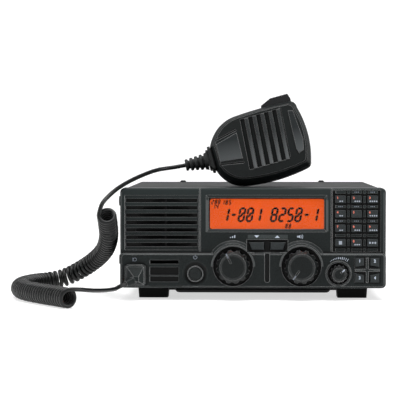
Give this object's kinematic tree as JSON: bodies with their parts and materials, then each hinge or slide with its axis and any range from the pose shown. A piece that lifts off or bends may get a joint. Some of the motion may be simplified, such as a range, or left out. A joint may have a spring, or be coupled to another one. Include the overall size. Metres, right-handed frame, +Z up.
{
  "type": "hf transceiver",
  "caption": "Desktop HF radio transceiver with a backlit amber display, keypad, large fluted knobs and a hand microphone on a curly cord.",
  "frame": {"origin": "on the surface it stands on, midway between the sides and midway between the knob faces and the rear socket's tip", "axes": "+X to the right seen from the front, +Y from the front to the back, +Z up; the controls face -Y"},
  "size_m": [0.3446, 0.3642, 0.1888],
  "materials": {
    "charcoal_plastic": "fine moulded grain, satin",
    "cast_aluminium": "cast, dark matte",
    "cover_paint": "fine textured charcoal paint",
    "clear_window": "clear, glossy",
    "display_face": "backlit amber liquid crystal glass",
    "amber_guide": "lit amber light guide",
    "speaker_parts": "black basket and paper cone",
    "key_rubber": "soft silicone",
    "circuit_board": "green solder mask",
    "control_body": "plated can",
    "socket_plastic": "moulded black",
    "fan_plastic": "moulded black",
    "socket_plate": "nickel plated",
    "terminal_brass": "plated brass",
    "foot_plastic": "moulded black",
    "foot_rubber": "black rubber",
    "screw_steel": "blackened steel",
    "cord_jacket": "satin black jacket",
    "knob_plastic": "satin charcoal with a white index line",
    "key_plastic": "moulded dark grey",
    "mic_plastic": "satin moulded black"
  },
  "bodies": {
    "radio": {"chassis": "cast_aluminium", "top_cover": "cover_paint", "bottom_cover": "cover_paint", "front_panel": "charcoal_plastic", "display_window": "clear_window", "display_glass": "display_face", "display_light": "amber_guide", "loudspeaker": "speaker_parts", "key_mats": "key_rubber", "front_board": "circuit_board", "main_board": "circuit_board", "channel_encoder": "control_body", "potentiometers": "control_body", "mic_jack": "socket_plastic", "heat_sink": "cast_aluminium", "fan_frame": "fan_plastic", "antenna_socket": "socket_plate", "ground_terminal": "terminal_brass", "power_socket": "socket_plastic", "accessory_sockets": "socket_plastic", "front_feet": "foot_plastic", "rubber_feet": "foot_rubber", "case_screws": "screw_steel", "mic_plug": "cord_jacket", "cord_lower_lead": "cord_jacket", "cord_coil": "cord_jacket", "cord_upper_lead": "cord_jacket"},
    "channel_dial": {"channel_knob": "knob_plastic"},
    "volume_dial": {"volume_knob": "knob_plastic"},
    "tone_dial": {"tone_knob": "knob_plastic"},
    "key_one_body": {"key_one": "key_plastic"},
    "key_two_body": {"key_two": "key_plastic"},
    "key_three_body": {"key_three": "key_plastic"},
    "key_four_body": {"key_four": "key_plastic"},
    "key_five_body": {"key_five": "key_plastic"},
    "key_six_body": {"key_six": "key_plastic"},
    "key_seven_body": {"key_seven": "key_plastic"},
    "key_eight_body": {"key_eight": "key_plastic"},
    "key_nine_body": {"key_nine": "key_plastic"},
    "key_star_body": {"key_star": "key_plastic"},
    "key_zero_body": {"key_zero": "key_plastic"},
    "key_hash_body": {"key_hash": "key_plastic"},
    "key_down_body": {"key_down": "key_plastic"},
    "key_up_body": {"key_up": "key_plastic"},
    "key_soft_upper_left_body": {"key_soft_upper_left": "key_plastic"},
    "key_soft_upper_right_body": {"key_soft_upper_right": "key_plastic"},
    "key_soft_lower_left_body": {"key_soft_lower_left": "key_plastic"},
    "key_soft_lower_right_body": {"key_soft_lower_right": "key_plastic"},
    "power_button_body": {"power_button": "key_plastic"},
    "rotor": {"fan_rotor": "fan_plastic"},
    "stand": {"tilt_stand": "screw_steel"},
    "handset": {"mic_front_shell": "mic_plastic", "mic_back_shell": "mic_plastic", "mic_capsule": "control_body", "mic_board": "circuit_board", "mic_screws": "screw_steel", "mic_hanger": "mic_plastic", "mic_strain_relief": "cord_jacket"},
    "talk_bar": {"push_to_talk": "mic_plastic"}
  },
  "joints": [
    {"name": "channel_turn", "type": "hinge", "parent": "radio", "child": "channel_dial", "pos_m": [-0.0179, -0.13, 0.0308], "axis": [0, 1, 0], "continuous": true},
    {"name": "volume_turn", "type": "hinge", "parent": "radio", "child": "volume_dial", "pos_m": [0.0439, -0.13, 0.0308], "axis": [0, 1, 0], "range_deg": [-4.5, 295.5]},
    {"name": "tone_turn", "type": "hinge", "parent": "radio", "child": "tone_dial", "pos_m": [0.0776, -0.13, 0.0244], "axis": [0, 1, 0], "range_deg": [-198, 102]},
    {"name": "key_one_press", "type": "slide", "parent": "radio", "child": "key_one_body", "axis": [0, 1, 0], "range_m": [0, 0.0008], "stiffness_N_per_m": 900, "springref_m": -0.0006},
    {"name": "key_two_press", "type": "slide", "parent": "radio", "child": "key_two_body", "axis": [0, 1, 0], "range_m": [0, 0.0008], "stiffness_N_per_m": 900, "springref_m": -0.0006},
    {"name": "key_three_press", "type": "slide", "parent": "radio", "child": "key_three_body", "axis": [0, 1, 0], "range_m": [0, 0.0008], "stiffness_N_per_m": 900, "springref_m": -0.0006},
    {"name": "key_four_press", "type": "slide", "parent": "radio", "child": "key_four_body", "axis": [0, 1, 0], "range_m": [0, 0.0008], "stiffness_N_per_m": 900, "springref_m": -0.0006},
    {"name": "key_five_press", "type": "slide", "parent": "radio", "child": "key_five_body", "axis": [0, 1, 0], "range_m": [0, 0.0008], "stiffness_N_per_m": 900, "springref_m": -0.0006},
    {"name": "key_six_press", "type": "slide", "parent": "radio", "child": "key_six_body", "axis": [0, 1, 0], "range_m": [0, 0.0008], "stiffness_N_per_m": 900, "springref_m": -0.0006},
    {"name": "key_seven_press", "type": "slide", "parent": "radio", "child": "key_seven_body", "axis": [0, 1, 0], "range_m": [0, 0.0008], "stiffness_N_per_m": 900, "springref_m": -0.0006},
    {"name": "key_eight_press", "type": "slide", "parent": "radio", "child": "key_eight_body", "axis": [0, 1, 0], "range_m": [0, 0.0008], "stiffness_N_per_m": 900, "springref_m": -0.0006},
    {"name": "key_nine_press", "type": "slide", "parent": "radio", "child": "key_nine_body", "axis": [0, 1, 0], "range_m": [0, 0.0008], "stiffness_N_per_m": 900, "springref_m": -0.0006},
    {"name": "key_star_press", "type": "slide", "parent": "radio", "child": "key_star_body", "axis": [0, 1, 0], "range_m": [0, 0.0008], "stiffness_N_per_m": 900, "springref_m": -0.0006},
    {"name": "key_zero_press", "type": "slide", "parent": "radio", "child": "key_zero_body", "axis": [0, 1, 0], "range_m": [0, 0.0008], "stiffness_N_per_m": 900, "springref_m": -0.0006},
    {"name": "key_hash_press", "type": "slide", "parent": "radio", "child": "key_hash_body", "axis": [0, 1, 0], "range_m": [0, 0.0008], "stiffness_N_per_m": 900, "springref_m": -0.0006},
    {"name": "key_down_press", "type": "slide", "parent": "radio", "child": "key_down_body", "axis": [0, 1, 0], "range_m": [0, 0.0008], "stiffness_N_per_m": 900, "springref_m": -0.0006},
    {"name": "key_up_press", "type": "slide", "parent": "radio", "child": "key_up_body", "axis": [0, 1, 0], "range_m": [0, 0.0008], "stiffness_N_per_m": 900, "springref_m": -0.0006},
    {"name": "key_soft_upper_left_press", "type": "slide", "parent": "radio", "child": "key_soft_upper_left_body", "axis": [0, 1, 0], "range_m": [0, 0.0008], "stiffness_N_per_m": 900, "springref_m": -0.0006},
    {"name": "key_soft_upper_right_press", "type": "slide", "parent": "radio", "child": "key_soft_upper_right_body", "axis": [0, 1, 0], "range_m": [0, 0.0008], "stiffness_N_per_m": 900, "springref_m": -0.0006},
    {"name": "key_soft_lower_left_press", "type": "slide", "parent": "radio", "child": "key_soft_lower_left_body", "axis": [0, 1, 0], "range_m": [0, 0.0008], "stiffness_N_per_m": 900, "springref_m": -0.0006},
    {"name": "key_soft_lower_right_press", "type": "slide", "parent": "radio", "child": "key_soft_lower_right_body", "axis": [0, 1, 0], "range_m": [0, 0.0008], "stiffness_N_per_m": 900, "springref_m": -0.0006},
    {"name": "power_button_press", "type": "slide", "parent": "radio", "child": "power_button_body", "axis": [0, 1, 0], "range_m": [0, 0.0008], "stiffness_N_per_m": 900, "springref_m": -0.0006},
    {"name": "fan_spin", "type": "hinge", "parent": "radio", "child": "rotor", "pos_m": [0.076, 0.108, 0.0711], "axis": [0, 1, 0], "continuous": true},
    {"name": "stand_fold", "type": "hinge", "parent": "radio", "child": "stand", "pos_m": [0, -0.0817, 0.0077], "axis": [1, 0, 0], "range_deg": [0, 95]},
    {"name": "handset_lift", "type": "slide", "parent": "radio", "child": "handset", "axis": [0, 0, 1], "range_m": [0, 0.06]},
    {"name": "talk_press", "type": "hinge", "parent": "handset", "child": "talk_bar", "pos_m": [0.00952, -0.05708, 0.16843], "axis": [0, 0.9816, -0.1908], "range_deg": [0, 3], "stiffness_Nm_per_rad": 0.9, "springref_deg": -3.44}
  ]
}
